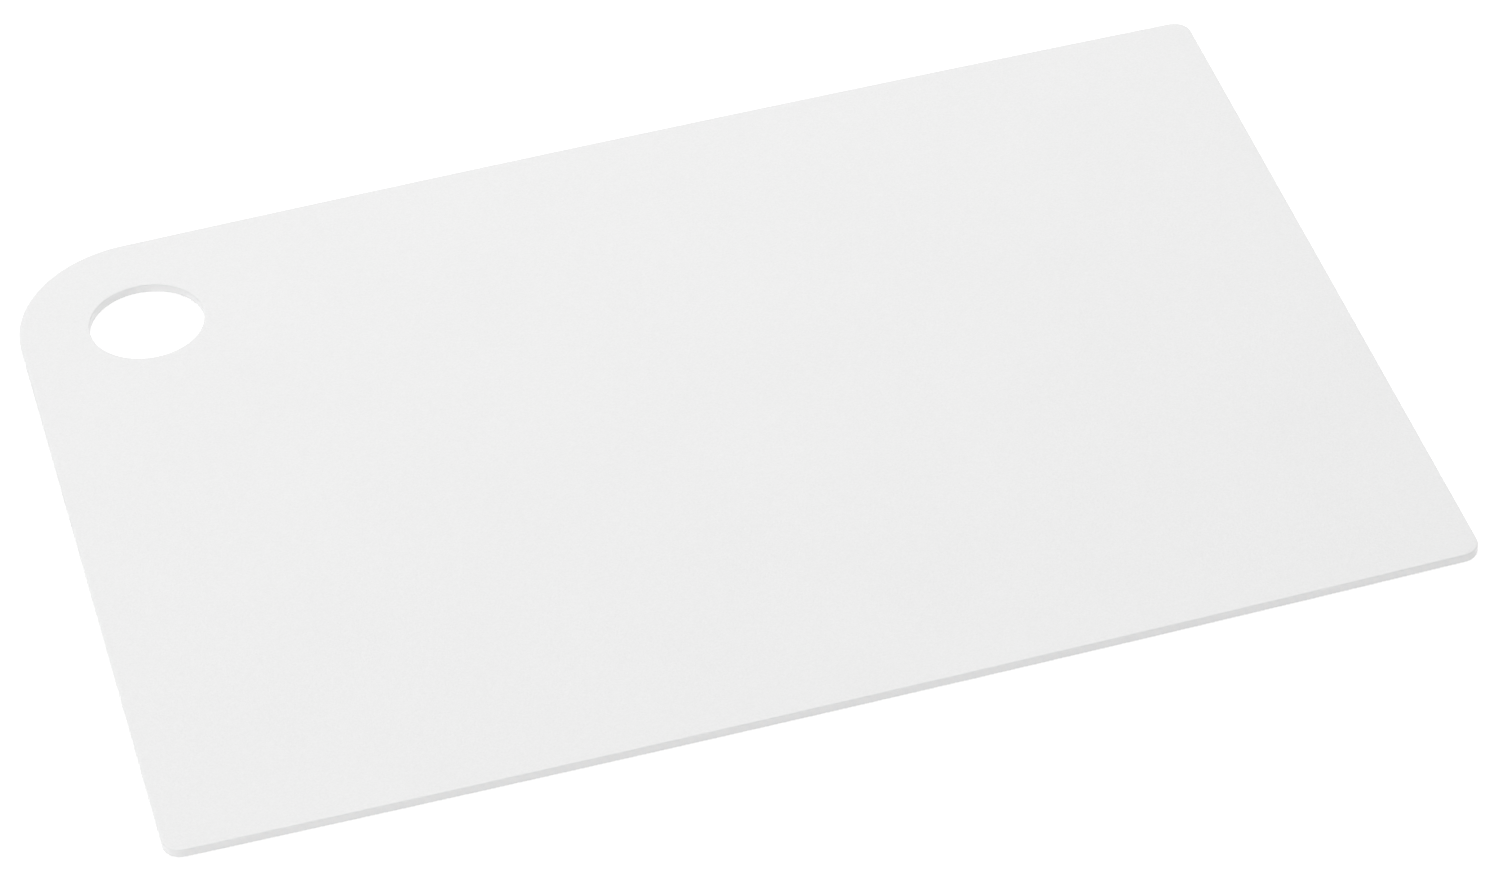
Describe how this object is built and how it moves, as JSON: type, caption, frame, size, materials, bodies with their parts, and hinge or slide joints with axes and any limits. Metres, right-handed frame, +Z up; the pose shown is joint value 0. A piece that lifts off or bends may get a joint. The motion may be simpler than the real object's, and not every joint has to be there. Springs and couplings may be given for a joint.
{
  "type": "cutting board",
  "caption": "Thin flat rectangular plastic cutting board with softly rounded edges, and a hanging hole in a large-radius corner.",
  "frame": {"origin": "middle of the underside", "axes": "+X along the long side, away from the hanging hole's end; +Y towards the long side that the hole is near; +Z up, out of the working face"},
  "size_m": [0.34, 0.24, 0.0026],
  "materials": {
    "white_polyethylene": "satin matte white, with a fine even grain"
  },
  "bodies": {
    "root": {"board": "white_polyethylene"}
  },
  "joints": []
}
